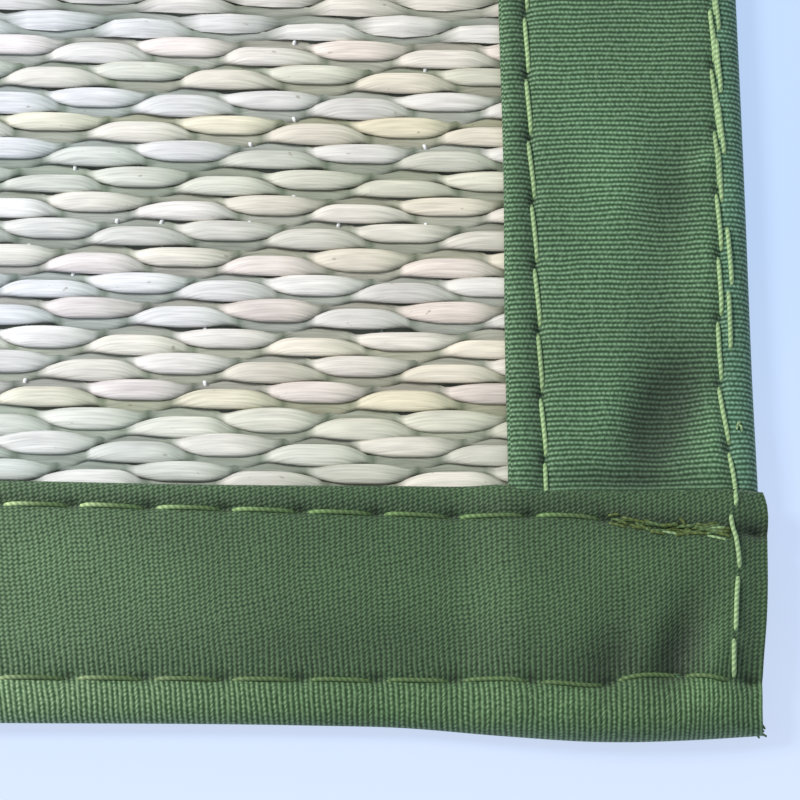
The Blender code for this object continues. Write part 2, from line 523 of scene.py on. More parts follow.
class Reed:
    """One reed: its place in the weave, its colour and its unevenness."""

    def __init__(self, y, direction, phase, rng, colour):
        self.y = y
        self.direction = direction
        self.phase = phase
        self.colour = np.array(colour)
        self.width = rng.uniform(0.95, 1.08)
        self.shift = rng.uniform(-0.05, 0.05)
        self.float_width = rng.normal(1.0, 0.06, 64).clip(0.88, 1.14)
        self.float_shift = rng.normal(0.0, 0.04, 64).clip(-0.08, 0.08)
        self.float_slide = rng.normal(0.0, 0.10, 64).clip(-0.22, 0.22)
        self.float_shade = rng.normal(1.0, 0.05, 64).clip(0.88, 1.08)

    def tube(self, places, sides):
        """The rings at these places along X, and their colours."""
        turns = (places - WARP_SHIFT) / WARP_PITCH - self.phase - 2.5
        number = (np.round(turns / 2).astype(int)) % 64
        reach = np.abs(np.cos(math.pi * turns / 2))
        turns = turns + self.float_slide[number] * reach
        side = (turns + 2) % 4 - 2
        from_middle = np.abs(side)
        height = np.tanh(2.0 * np.cos(math.pi * turns / 2) + 0.36) / math.tanh(2.0)
        hidden = np.abs(places) > HIDDEN_X
        height = np.where(hidden, 0, height)
        half_width = hand_line(REED_WIDTHS, from_middle)
        half_width = half_width * self.width * (1 + (self.float_width[number] - 1) * reach)
        thick = REED_HALF_THICKNESS * (0.80 + 0.20 * reach)
        tucked = smooth(from_middle, 1.0, 1.5)
        spread = UPPER_REED_SPREAD * tucked if self.direction > 0 else 0
        y = self.y + self.direction * (hand_line(REED_SHIFTS, from_middle) + spread)
        y = y + self.shift + self.float_shift[number] * reach
        squeeze = panel_squeeze(places, y)
        wave = REED_WAVE * np.where(height > 0, height, SHALLOW * height)
        z = panel_middle(places, y) + (wave - self.direction * LAYERING * tucked) * squeeze
        turn = even_turns(sides)
        ring_y = y[:, None] + half_width[:, None] * np.cos(turn)
        flat_top = np.sign(np.sin(turn)) * np.abs(np.sin(turn)) ** REED_SQUARENESS
        ring_z = z[:, None] + (thick * squeeze)[:, None] * flat_top
        ring_x = np.broadcast_to(places[:, None], ring_y.shape)
        rings = np.stack([ring_x, ring_y, ring_z], axis=2)
        shade = (1 + (self.float_shade[number] - 1) * reach)[:, None]
        # Painted shade: the reed darkens at its necks, along its under parts, at the right end of each part
        # on top, and at its edges near the crossings, where the weave shades it.
        neck_shade = bell(from_middle, 1.22, 0.14) * 0.30
        under_shade_mask = (smooth(from_middle, 1.0, 1.22) + neck_shade)[:, None]
        late_shade_mask = (smooth(side, 0.0, 1.1) * (from_middle < 1.3))[:, None]
        colour = self.colour * shade * (1 - under_shade_mask * UNDER_PAINTED_SHADE) * (1 - late_shade_mask * LATE_PAINTED_SHADE)
        # Painted light: bluer in the middle, darker and yellower towards the side bindings.
        colour = colour * (MIDDLE_LIGHT_TINT - smooth(np.abs(places), 122, 168)[:, None] * SIDE_LIGHT_FALLOFF)
        edge = np.abs(np.cos(turn))[None, :] ** 3 * bell(from_middle, 1.02, 0.26)[:, None]
        edge_shaded = colour[:, None, :] * (1 - 0.45 * edge)[:, :, None]
        return rings, tinted(len(places), sides, edge_shaded)


REED_COLOURS = (
    # red, green, blue as linear light, and how often each is met
    (0.82, 0.83, 0.82, 5),
    (0.85, 0.83, 0.78, 5),
    (0.84, 0.81, 0.71, 4),
    (0.75, 0.77, 0.67, 4),
    (0.74, 0.74, 0.68, 4),
    (0.85, 0.79, 0.75, 3),
    (0.80, 0.77, 0.61, 2),
    (0.68, 0.71, 0.64, 1),
)


def reed_list(rng):
    """Every reed of the mat, from the front end to the back."""
    table = np.array(REED_COLOURS)
    often = table[:, 3] / table[:, 3].sum()
    count = math.floor((PANEL_HALF_LENGTH - PAIR_PITCH / 2 + FIRST_PAIR) / PAIR_PITCH)
    lowest = FIRST_PAIR - count * PAIR_PITCH
    pairs = math.floor((PANEL_HALF_LENGTH - PAIR_PITCH / 2 - lowest) / PAIR_PITCH) + 1
    reeds = []
    for pair in range(pairs):
        wander = rng.normal(0, 0.07)
        y = lowest + pair * PAIR_PITCH + float(np.clip(wander, -0.12, 0.12))
        upper, lower = PAIR_PHASES[(count - pair) % 4]
        for direction, phase in ((-1, lower), (1, upper)):
            colour = table[rng.choice(len(table), p=often), :3]
            colour = colour * rng.uniform(0.94, 1.05)
            reeds.append(Reed(y, direction, phase, rng, colour))
    return reeds


def is_near(reed):
    return NEAR_Y[0] < reed.y < NEAR_Y[1]


def make_reeds(material):
    rng = np.random.default_rng(SEED)
    reeds = reed_list(rng)
    ends = np.array([HIDDEN_X + 2.5, PANEL_HALF_WIDTH])
    far_groups = np.array_split(np.arange(len(reeds)), REED_PIECES)
    pieces = []
    for number, group in enumerate(far_groups):
        tubes = []
        tints = []
        for reed in (reeds[k] for k in group):
            places = reed_places(-HIDDEN_X, HIDDEN_X, reed.phase, COARSE)
            places = np.concatenate([-ends[::-1], places, ends])
            if is_near(reed):
                places = places[places < NEAR_X[0]]
            rings, colours = reed.tube(places, 6)
            tubes.append(rings)
            tints.append(colours)
        chart = strip_chart(len(tubes), 2 * PANEL_HALF_WIDTH, REED_GIRTH)
        piece = tube_mesh("reeds_%d" % (number + 1), tubes, tints, material, chart)
        pieces.append(link(piece))
    tubes = []
    tints = []
    for reed in filter(is_near, reeds):
        coarse = reed_places(-HIDDEN_X, HIDDEN_X, reed.phase, COARSE)
        start = coarse[coarse < NEAR_X[0]][-1]
        fine = reed_places(start + 0.3, HIDDEN_X, reed.phase, FINE)
        places = np.concatenate([[start], fine, ends])
        rings, colours = reed.tube(places, 12)
        tubes.append(rings)
        tints.append(colours)
    chart = strip_chart(len(tubes), PANEL_HALF_WIDTH - NEAR_X[0], REED_GIRTH)
    piece = tube_mesh("reeds_corner", tubes, tints, material, chart)
    pieces.append(link(piece))
    return pieces


def make_warps(material):
    rng = np.random.default_rng(SEED + 1)
    count = math.floor(PANEL_HALF_WIDTH / WARP_PITCH)
    tubes = []
    tints = []
    turn = even_turns(5)
    between_pairs = FIRST_PAIR + PAIR_PITCH * (np.arange(*PROUD_PAIRS) + 0.5)
    crossings = between_pairs[:, None] + np.array([-0.40, -0.15, 0.15, 0.40])
    for number in range(-count, count + 1):
        far = np.arange(-PANEL_HALF_LENGTH, PANEL_HALF_LENGTH + 1, PANEL_HALF_LENGTH / 10)
        y = far
        x = number * WARP_PITCH + WARP_SHIFT
        if NEAR_X[0] < x < SIDE_GRIP:
            y = np.concatenate([far[far < NEAR_Y[0] - 2], crossings.ravel(), far[far > NEAR_Y[1] + 2]])
        proud = np.zeros(len(y))
        if len(y) > len(far):
            first = np.searchsorted(y, crossings[0, 0])
            shown = rng.random(len(crossings)) < PROUD_SHARE
            proud[first:first + crossings.size] = (shown[:, None] * np.array([0, 1, 1, 0])).ravel()
        centre_x = x + rng.normal(0, 0.06, len(y))
        centre_z = panel_middle(np.full(len(y), x), y) - WARP_DEPTH + PROUD_RISE * proud
        radius = (WARP_RADIUS * (1 + PROUD_SWELL * proud))[:, None]
        ring_x = centre_x[:, None] + radius * np.cos(turn)
        ring_z = centre_z[:, None] + radius * np.sin(turn)
        ring_y = np.broadcast_to(y[:, None], ring_x.shape)
        tubes.append(np.stack([ring_x, ring_y, ring_z], axis=2)[::-1])
        tints.append(tinted(len(y), 5, 1))
    chart = strip_chart(len(tubes), 2 * PANEL_HALF_LENGTH, 1.0)
    return link(tube_mesh("warps", tubes, tints, material, chart))


# The bindings

# Places of the seams and folds. The first column is the place along the binding, measured for the side
# bindings as Y at the right side, and for the end bindings as X at the front end.
SIDE_INNER_SEAM = (
    (-296, 178.9),
    (-275, 178.8),
    (-253, 178.4),
    (-232, 177.95),
    (-190, 178.3),
    (-120, 178.0),
    (-40, 178.4),
    (50, 178.1),
    (140, 178.5),
    (220, 178.2),
    (296, 178.4),
)
SIDE_OUTER_SEAM = (
    (-294.6, 196.85),
    (-290, 196.7),
    (-286, 196.75),
    (-283.5, 196.95),
    (-280.5, 196.7),
    (-278.1, 196.25),
    (-277.2, 196.6),
    (-271, 196.45),
    (-267, 196.05),
    (-262, 195.95),
    (-255.5, 196.25),
    (-242.5, 196.5),
    (-231.5, 196.5),
    (-180, 196.9),
    (-100, 196.6),
    (0, 196.9),
    (100, 196.7),
    (200, 196.9),
    (294.6, 196.3),
)
END_INNER_SEAM = (
    (-197, -277.9),
    (-150, -277.4),
    (-60, -277.8),
    (20, -277.3),
    (90, -277.6),
    (127, -277.4),
    (146, -277.6),
    (165, -278.0),
    (174.5, -278.3),
    (184, -278.6),
    (188, -279.3),
    (195, -279.7),
)
END_OUTER_SEAM = (
    (-197, -294.4),
    (-140, -294.9),
    (-70, -294.5),
    (10, -294.8),
    (80, -294.6),
    (127.5, -294.7),
    (165, -294.6),
    (174, -294.6),
    (180, -295.1),
    (183, -295.2),
    (186, -294.4),
    (191, -294.0),
    (195.8, -294.6),
)
END_OUTER_FOLD = (
    # in from the binding's end, out from the straight edge
    (0, 0.1),
    (6.6, 0.55),
    (16.3, 0.85),
    (25.6, 0.35),
    (35, -0.35),
    (44, -0.5),
    (72, -0.45),
    (120, -0.1),
    (200, 0.1),
    (400, 0.0),
)


END_OUTLINE = (
    # along the mat, and how far the front binding's right end stands out there
    (-300, -0.80),
    (-298.4, -1.10),
    (-296, -1.10),
    (-292.4, -0.85),
    (-288.4, -0.40),
    (-281.4, -0.05),
    (-276, -0.10),
    (-274.8, -0.50),
)


def ridges(rows, x, y):
    """The height of soft ridges and troughs: rows of (x, y, half length, half width, angle, height)."""
    total = np.zeros(np.broadcast(x, y).shape)
    for centre_x, centre_y, half_length, half_width, angle, height in rows:
        turn = math.radians(angle)
        along = (x - centre_x) * math.cos(turn) + (y - centre_y) * math.sin(turn)
        across = (y - centre_y) * math.cos(turn) - (x - centre_x) * math.sin(turn)
        total = total + height * bell(along, 0, half_length) * bell(across, 0, half_width)
    return total


SIDE_CREASES = (
    # x, y, half length, half width, angle in degrees, height
    (186.0, -270.0, 7.0, 2.6, 90, 0.50),
    (189.4, -268.2, 7.6, 3.2, 62, -1.44),
    (195.0, -270.5, 5.0, 1.0, 90, 0.42),
    (186.5, -274.4, 9.0, 1.1, 0, -0.40),
    (192.0, -243.5, 6.0, 2.4, 80, -0.50),
    (186.0, -242.0, 8.0, 2.6, 90, 0.34),
    (195.4, -240.4, 1.9, 1.0, 35, 0.45),
    (195.0, -250.0, 6.0, 1.2, 90, 0.28),
    (190.0, -256.0, 7.0, 2.4, 84, -0.22),
    (183.0, -236.0, 9.0, 1.8, 88, 0.16),
)
END_CREASES = (
    (184.6, -293.0, 3.8, 2.6, 62, -0.66),
    (190.9, -291.4, 4.8, 2.0, 68, -0.96),
    (195.2, -292.2, 3.8, 1.4, 74, 0.46),
    (188.2, -290.0, 4.4, 1.6, 66, 0.16),
    (181.0, -297.0, 5.0, 0.9, 30, 0.22),
    (194.0, -296.6, 3.4, 1.0, -12, 0.30),
    (170.0, -286.5, 14.0, 2.6, -4, 0.20),
    (158.0, -291.0, 16.0, 2.0, 4, -0.18),
    (136.0, -283.5, 12.0, 2.6, -5, 0.16),
    (186.0, -283.0, 6.0, 1.6, -14, 0.18),
)


def gentle(x, y, shift):
    """A faint unevenness all over the cloth."""
    first = np.sin(x / 9.1 + shift) * np.sin(y / 7.3 + 2 * shift)
    second = np.sin(x / 4.7 + y / 6.1 + 3 * shift)
    return 0.035 * first + 0.02 * second


# Tints of the cloth. The side's band past the outer seam, sloping down to the fold, is painted bluer and
# lighter, as if lit by the pale blue floor. An end binding is darker and browner towards the right, and
# lighter past its outer seam.
SIDE_TINT = np.array([0.91, 1.00, 0.92])
SIDE_BAND_TINT = np.array([0.96, 1.16, 1.32])
END_LEFT_TINT = np.array([0.76, 0.77, 0.66])
END_RIGHT_TINT = np.array([0.405, 0.475, 0.335])
END_BAND_GAIN = np.array([1.05, 0.88, 0.98])


class Binding:
    """A folded strip. Along it, place is Y for a side binding and X for an end binding, both taken at the
    right side or the front end, so the far ones are these turned half round."""

    def __init__(self, kind, turned):
        self.kind = kind
        self.turned = turned
        self.is_side = kind == "side"
        self.half_length = SIDE_HALF_LENGTH if self.is_side else END_HALF_WIDTH
        self.pitch = SIDE_STITCH if self.is_side else END_STITCH
        self.starts = (1.7, 3.2) if self.is_side else (4.2, 4.2)
        self.hole_gaps = (0.30, 0.30) if self.is_side else (0.75, 0.20)

    def holes(self, place, which, power):
        """1 at each needle hole of a seam, falling to 0 between them."""
        return np.cos(math.pi * (place - self.starts[which]) / self.pitch) ** power

    def outer(self, place):
        if self.is_side:
            turn = 2 * math.pi * place / 140
            tucked = 1.3 * smooth(np.abs(place), 282, 292)
            return 0.05 * (np.sin(turn + 2.1) + np.sin(2.3 * turn + 1)) - tucked
        return hand_line(END_OUTER_FOLD, END_HALF_WIDTH - place)

    def seams(self, place):
        """How far the inner and the outer seam are from the straight outer edge."""
        if self.is_side:
            inner, outer = (hand_line(table, place) for table in (SIDE_INNER_SEAM, SIDE_OUTER_SEAM))
            return SIDE_OUTER - inner, SIDE_OUTER - outer
        inner, outer = (hand_line(table, place) for table in (END_INNER_SEAM, END_OUTER_SEAM))
        return END_OUTER + inner, END_OUTER + outer

    def xy(self, place, inward):
        if self.is_side:
            return SIDE_OUTER - inward, place
        return place, -(END_OUTER - inward)

    def lift(self, place):
        """The rise of the whole strip where it goes into a corner."""
        if self.is_side:
            return CORNER_LIFT * smooth(np.abs(place), END_GRIP - RAMP, END_GRIP)
        return 0 * place

    def crown(self, place):
        """How much higher the upper layer is where a corner's cloth is inside it."""
        if self.is_side:
            return 0 * place
        inside = smooth(np.abs(place), SIDE_GRIP - 5, SIDE_GRIP + 1.5)
        end = smooth(np.abs(place), END_HALF_WIDTH - 3.4, END_HALF_WIDTH)
        return 2 * CORNER_LIFT * inside - 0.85 * end

    def top(self, place, inward):
        """The height of the upper layer's outer face."""
        inner_seam, outer_seam = self.seams(place)
        from_fold = np.maximum(inward + self.outer(place), 0)
        rise = (1 - np.exp(-from_fold / 0.95)) ** 0.6
        z = FOLD_MIDDLE + (UPPER_FACE - FOLD_MIDDLE) * rise
        z = z + self.crown(place) * rise
        x, y = self.xy(place, inward)
        z = z + gentle(x, y, 1.3) * smooth(from_fold, 2, 6)
        z = z + ridges(SIDE_CREASES if self.is_side else END_CREASES, x, y) * smooth(from_fold, 0.8, 2)
        inner_holes = self.holes(place, 0, 8)
        outer_holes = self.holes(place, 1, 8)
        z = z - (0.26 + 0.30 * inner_holes) * bell(inward, inner_seam, 0.40)
        z = z - (0.10 + 0.10 * inner_holes) * bell(inward, inner_seam, 1.2)
        z = z - (0.20 + 0.30 * outer_holes) * bell(inward, outer_seam, 0.40)
        z = z - (0.14 + 0.10 * outer_holes) * bell(inward, outer_seam, 1.5)
        hem = (BINDING_WIDTH + inner_seam) / 2
        z = z + 0.16 * bell(inward, hem, 0.9)
        if self.is_side:
            z = z - 0.60 * smooth(np.abs(place), 276.6, 279.5)
        return z - 0.30 * smooth(inward, BINDING_WIDTH - 0.8, BINDING_WIDTH) ** 2

    def bottom(self, place, inward):
        inner_seam, outer_seam = self.seams(place)
        from_fold = np.maximum(inward + self.outer(place), 0)
        z = FOLD_MIDDLE - FOLD_MIDDLE * (1 - np.exp(-from_fold / 0.8)) ** 0.6
        z = z + 0.30 * (bell(inward, inner_seam, 0.45) + bell(inward, outer_seam, 0.45))
        end = smooth(np.abs(place), END_HALF_WIDTH - 2.5, END_HALF_WIDTH)
        return z + (0 if self.is_side else 0.35) * end

    def tint_and_crease_shade(self, place, inward):
        """The cloth's tint, with painted light and shade: lighter on the ridges and darker in the hollows of
        the creases, bluer and lighter past a side binding's outer seam as if lit by the pale blue floor, and
        on an end binding darker and browner towards the right and lighter past its outer seam.
        """
        x, y = self.xy(place, inward)
        past_seam = smooth(-inward, -self.seams(place)[1] - 0.5, -self.seams(place)[1] + 0.5)[..., None]
        rows = SIDE_CREASES if self.is_side else END_CREASES
        # Painted light and shade: lighter on the creases' ridges, darker in their hollows.
        crease_shade = np.clip(1 + 0.80 * ridges(rows, x, y), 0.34, 1.28)[..., None]
        if self.is_side:
            tint = SIDE_TINT + (SIDE_BAND_TINT - SIDE_TINT) * past_seam
        else:
            right = smooth(np.broadcast_to(place, inward.shape), 122, 164)[..., None]
            tint = END_LEFT_TINT + (END_RIGHT_TINT - END_LEFT_TINT) * right
            tint = tint * (1 + END_BAND_GAIN * past_seam)
        return tint * crease_shade

    def surface(self, place, inward, upper=True):
        """A point on the outer face."""
        place, inward = np.broadcast_arrays(place, inward)
        z = self.top(place, inward) if upper else self.bottom(place, inward)
        return self.point(place, inward, z + self.lift(place))

    def point(self, place, inward, z):
        x, y = self.xy(place, inward)
        if not self.is_side:
            x = x + hand_line(END_OUTLINE, y) * smooth(x, 188, 199)
        sign = -1 if self.turned else 1
        return np.stack(np.broadcast_arrays(sign * x, sign * y, z), axis=-1)

    def corner_edge(self, place):
        """How far the end binding's inner edge keeps back in a corner, where it is higher."""
        if self.is_side:
            return 0.12 * np.sin(place / 17.0) + 0.05 * np.sin(place / 5.3)
        back = 0.85 * smooth(np.abs(place), SIDE_GRIP - 1, SIDE_GRIP + 2)
        back = back - 0.40 * smooth(np.abs(place), 188, 199)
        return -back + 0.10 * np.sin(place / 15.0 + 1) + 0.04 * np.sin(place / 4.9)


UPPER_STEPS = (
    # share of the way from the inner edge to the inner seam, then from there to the outer seam, then to
    # the fold: 0 to 1, 1 to 2 and 2 to 3
    (0.00, 0.05, 0.15, 0.35, 0.60, 0.78, 0.88, 0.95, 1.0),
    (1.011, 1.026, 1.05, 1.10, 1.17, 1.25, 1.33, 1.42, 1.51, 1.60, 1.69, 1.78, 1.86, 1.92, 1.955, 1.98),
    (2.0, 2.08, 2.2, 2.38, 2.6, 2.78, 2.9, 2.97, 3.0),
)
LOWER_STEPS = (2.93, 2.8, 2.5, 2.15, 2.0, 1.97, 1.8, 1.3, 1.03, 1.0, 0.85, 0.3, 0.0)
INNER_STEPS = (0.0, 0.6, 1.0, 1.12, 1.25, 1.38, 1.5, 1.62, 1.75, 1.88, 2.0, 2.3, 2.6, 2.93)


def stations_of(binding):
    """Places along a binding where it has a ring: close together where the camera is near."""
    half = binding.half_length
    near_low, near_high = (-half, NEAR_Y[1]) if binding.is_side else (NEAR_X[0], half)
    edge = [-half, -half + 0.5, -half + 1.2, -half + 2.2]
    if binding.turned:
        near_low, near_high = half + 1, half + 2
    coarse = np.arange(-half + 3.5, half - 3, binding.pitch / 2)
    coarse = coarse[(coarse < near_low - 1) | (coarse > near_high + 1)]
    fine = np.arange(near_low, near_high, 0.5)
    fine = fine[np.abs(fine) < half - 2.4]
    return np.array(sorted(set(np.round(np.concatenate([edge, -np.array(edge), coarse, fine]), 4))))


def make_binding(name, binding, material, lean, drop):
    """The strip as one closed tube, whose ring is the folded cloth's cut end with its two hems."""
    place = stations_of(binding)[:, None]
    inner_seam, outer_seam = binding.seams(place)
    inner_edge = BINDING_WIDTH + binding.corner_edge(place)
    fold = -binding.outer(place)

    def inward_of(steps):
        steps = np.array(steps)[None, :]
        first = inner_edge + (inner_seam - inner_edge) * np.clip(steps, 0, 1)
        second = (outer_seam - inner_seam) * np.clip(steps - 1, 0, 1)
        third = (fold - outer_seam) * np.clip(steps - 2, 0, 1)
        return first + second + third

    upper = inward_of(sum(UPPER_STEPS, ()))
    lower = inward_of(LOWER_STEPS)
    inside = inward_of(INNER_STEPS)
    hem_end = np.clip(inside, None, inner_edge - 0.02)
    thick = np.where(inside > inner_edge - HEM_DEPTH, HEM, CLOTH)
    lift = binding.lift(place)
    top = binding.top(place, upper) + lift
    bottom = binding.bottom(place, lower) + lift
    top_inside = binding.top(place, hem_end) + lift - thick
    bottom_inside = binding.bottom(place, hem_end) + lift + thick
    deep = (fold + CLOTH, binding.top(place, fold + 0 * place) + lift)
    nose = 0.10
    rows = [
        (upper[:, 1:], top[:, 1:]),
        (lower, bottom),
        (inner_edge + nose, bottom[:, -1:] + HEM / 2),
        (inside, bottom_inside),
        deep,
        (inside[:, ::-1], top_inside[:, ::-1]),
        (inner_edge + nose, top[:, :1] - HEM / 2),
        (upper[:, :1], top[:, :1]),
    ]
    inward = np.concatenate([np.broadcast_to(row[0], (len(place), row[0].shape[1])) for row in rows], axis=1)
    z = np.concatenate([np.broadcast_to(row[1], (len(place), row[1].shape[1])) for row in rows], axis=1)
    ring = binding.point(np.broadcast_to(place, z.shape), inward, z)
    # Painted shade: the cloth darkens in the seam grooves, most at the needle holes, in the hollow beside
    # the inner seam, and under the overstitch at the end binding's corner.
    dark = 1 - bell(inward, inner_seam + 0.2, 0.42) * (0.12 + 0.58 * binding.holes(place, 0, 60))
    dark = dark * (1 - bell(inward, outer_seam + 0.2, 0.42) * (0.08 + 0.58 * binding.holes(place, 1, 60)))
    dark = dark * (1 - 0.22 * bell(inward, inner_seam + 0.9, 0.9))
    if not binding.is_side:
        overstitch_shade = smooth(place, 183.5, 186) * bell(inward, inner_seam + 0.2, 0.9)
        dark = dark * (1 - 0.42 * overstitch_shade)
    tints = tinted(*z.shape, dark[:, :, None] * binding.tint_and_crease_shade(place, inward))
    low = smooth(-inward, -10, -3.5)
    tints[:, :, 3] = 0.85 if binding.is_side else 0.75 * low

    def chart(number, tube):
        around = way_round(tube)
        across = np.concatenate([inward, inward[:, :1]], axis=1)
        along = np.broadcast_to(place, across.shape)
        leans = np.interp(along, (-200, 130, 185), (0.6, 1.0, 0.1)) * math.tan(math.radians(lean))
        drops = np.interp(along, (-200, 130, 200), (0.6, 1.0, 1.4)) * math.tan(math.radians(drop))
        cloth = np.stack([along + leans * around, around + drops * along], axis=2)
        share = (along + binding.half_length) / (2 * binding.half_length)
        wrap = around / around[:, -1:]
        return cloth, np.stack([0.005 + 0.99 * share, 0.005 + 0.99 * wrap], axis=2)

    piece = tube_mesh(name, [ring], [tints], material, chart)
    return link(piece)


# Sewing

# THREAD and OLIVE are the threads' own colours. The other two are painted: the dark one is thread in shade,
# where it goes down under the cloth, and the light one is thread lit on its near end, where it rises towards
# the light.
THREAD = (0.33, 0.48, 0.22)
SHADED_THREAD = (0.10, 0.17, 0.055)
OLIVE = (0.09, 0.13, 0.025)
LIT_THREAD = (0.52, 0.68, 0.33)


def stitch_tube(points, upward, radius, sides, sink):
    """A tube along a run of points, which comes up out of one needle hole and goes down the next."""
    t = np.linspace(0, 1, len(points))
    ends = np.minimum(t, 1 - t)
    centres = points.copy()
    centres[:, 2] += upward * (radius * 0.75 - sink * np.exp(-ends * 9))
    taper = 0.80 + 0.20 * smooth(ends, 0.0, 0.25)
    along = np.gradient(centres, axis=0)
    along /= np.linalg.norm(along, axis=1)[:, None]
    side = np.cross(along, np.array([0, 0, 1.0]))
    side /= np.linalg.norm(side, axis=1)[:, None]
    up = np.cross(side, along)
    turn = even_turns(sides)
    reach = (radius * taper)[:, None, None]
    ring = side[:, None, :] * np.cos(turn)[:, None] + up[:, None, :] * np.sin(turn)[:, None] * 0.85
    return centres[:, None, :] + reach * ring


class Sewing:
    """Collects the stitches of one piece."""

    def __init__(self, name, seed):
        self.name = name
        self.rng = np.random.default_rng(seed)
        self.tubes = []
        self.tints = []

    def stitch(self, point_of, start, end, upper=True, fine=False, radius=THREAD_RADIUS, slant=0.0,
               colour=THREAD, shaded_colour=None, sink=0.62):
        """A stitch from start to end, where point_of(place, slide) gives the surface's points."""
        rings, sides = (10, 8) if fine else (5, 4)
        t = np.linspace(0, 1, rings)
        share = 0.5 - 0.5 * np.cos(math.pi * t)
        points = point_of(start + (end - start) * share, slant * (share - 0.5))
        tube = stitch_tube(points, 1 if upper else -1, radius, sides, sink if upper else 0.3)
        tube[:, :, 2] = np.maximum(tube[:, :, 2], LOWEST_THREAD)
        self.tubes.append(tube)
        # Painted shade: each stitch darkens towards its far end, where it goes into shade under the cloth.
        late_shade_mask = smooth(t, 0.12, 0.60)[:, None]
        near_colour = np.array(colour)
        far_colour = np.array(shaded_colour or colour)
        shade = self.rng.uniform(0.90, 1.12)
        colours = shade * (near_colour + (far_colour - near_colour) * late_shade_mask)
        self.tints.append(tinted(rings, sides, colours[:, None, :]))

    def seam(self, binding, which, low, high, shift=0.0, beside=0.0, upper=True):
        """The stitches of a seam between two places, or of a second run slid along it and beside it."""
        start_at = binding.starts[which] + shift
        first = math.ceil((low - start_at) / binding.pitch)
        last = math.floor((high - start_at) / binding.pitch)
        before, after = binding.hole_gaps

        def point_of(place, slide):
            return binding.surface(place, binding.seams(place)[which] + beside - slide, upper)

        for k in range(first, last):
            start = start_at + k * binding.pitch + before
            end = start_at + (k + 1) * binding.pitch - after
            slant = self.rng.normal(-0.40, 0.08) if binding.is_side else self.rng.normal(0.06, 0.06)
            looks = {}
            if not binding.is_side:
                # On an end binding a stitch is lit at its near end and shaded at its far end, painted light
                # and shade; further right the stitches are duller and sink deeper.
                rightward = float(smooth(start, 125, 160))
                bright = np.array(LIT_THREAD) * (1, 0.62)[which]
                dull = np.array(SHADED_THREAD) * (1.9, 1.0)[which]
                looks = {"colour": tuple(bright + (dull - bright) * rightward), "shaded_colour": SHADED_THREAD}
                looks["sink"] = 0.62 + (0.10, 0.24)[which] * rightward
            fine = upper and self.is_near(point_of(np.array([start]), 0)[0])
            self.stitch(point_of, start, end, upper, fine, slant=slant, **looks)

    def last_stitch(self, binding, which, start, end, colour):
        """A seam's last stitch, shorter than the others."""

        def point_of(place, slide):
            return binding.surface(place, binding.seams(place)[which] - slide)

        fine = not binding.turned
        self.stitch(point_of, start, end, True, fine, colour=colour)

    def is_near(self, point):
        return point[0] > NEAR_X[0] - 5 and point[1] < NEAR_Y[1] + 5

    def loose(self, points, radius, colour):
        """A short loose thread through given points."""
        points = np.array(points, dtype=float)
        knots = np.linspace(0, 1, len(points))
        t = np.linspace(0, 1, 9)
        run = np.stack([np.interp(t, knots, points[:, axis]) for axis in range(3)], axis=1)
        run[1:-1] = (run[:-2] + 2 * run[1:-1] + run[2:]) / 4
        self.tubes.append(stitch_tube(run, 0, radius, 6, 0))
        self.tints.append(tinted(9, 6, colour))

    def finish(self, material):
        chart = strip_chart(len(self.tubes), 6.5, 1.3)
        piece = tube_mesh(self.name, self.tubes, self.tints, material, chart)
        return link(piece)


SIDE_SEAM_REACH = (276, 271)
DOUBLED = (
    # where the side's outer row is sewn twice: from, to, slid along the row, and beside it
    (-263, -241, 3.1, -0.95),
    (-243, -205, 3.4, -0.50),
    (-246, -205, 5.2, -0.22),
)


def make_side_sewing(name, binding, material, seed):
    sewing = Sewing(name, seed)
    for upper in (True, False):
        for which, reach in enumerate(SIDE_SEAM_REACH):
            sewing.seam(binding, which, -reach, reach, upper=upper)
    sewing.last_stitch(binding, 0, -272.6, -276.3, THREAD)
    for low, high, shift, beside in DOUBLED:
        sewing.seam(binding, 1, low, high, shift, beside)
    if not binding.turned:
        for points in TUFT:
            x, y = (np.array([point[axis] for point in points]) for axis in (0, 1))
            lifted = binding.surface(y, SIDE_OUTER - x)
            lifted[:, 2] += [point[2] for point in points]
            sewing.loose(lifted, 0.11, THREAD)
    return sewing.finish(material)


# A stray bit of thread on the right binding, and frayed ends at the front right corner: x, y and height.
TUFT = (
    ((197.3, -269.0, 0.05), (197.4, -268.5, 0.30), (197.7, -268.2, 0.08)),
    ((197.4, -268.6, 0.12), (197.7, -268.7, 0.34), (197.8, -269.2, 0.06)),
)
FRAYED = (
    ((198.0, -298.2, 1.9), (198.6, -298.5, 1.7), (199.0, -298.7, 1.3)),
    ((198.1, -297.9, 2.0), (198.7, -298.1, 1.8), (199.1, -298.5, 1.5)),
    ((197.8, -298.5, 1.6), (198.3, -298.9, 1.3), (198.6, -299.2, 0.9)),
    ((198.0, -298.3, 1.5), (198.7, -298.8, 1.2), (199.3, -299.0, 0.8)),
)


SIDE_SEAM_END = (
    # from and to along the side, where the side's outer seam runs on over the end binding
    (-271.2, -277.3),
    (-278.1, -283.5),
    (-284.3, -289.9),
    (-290.7, -294.3),
)


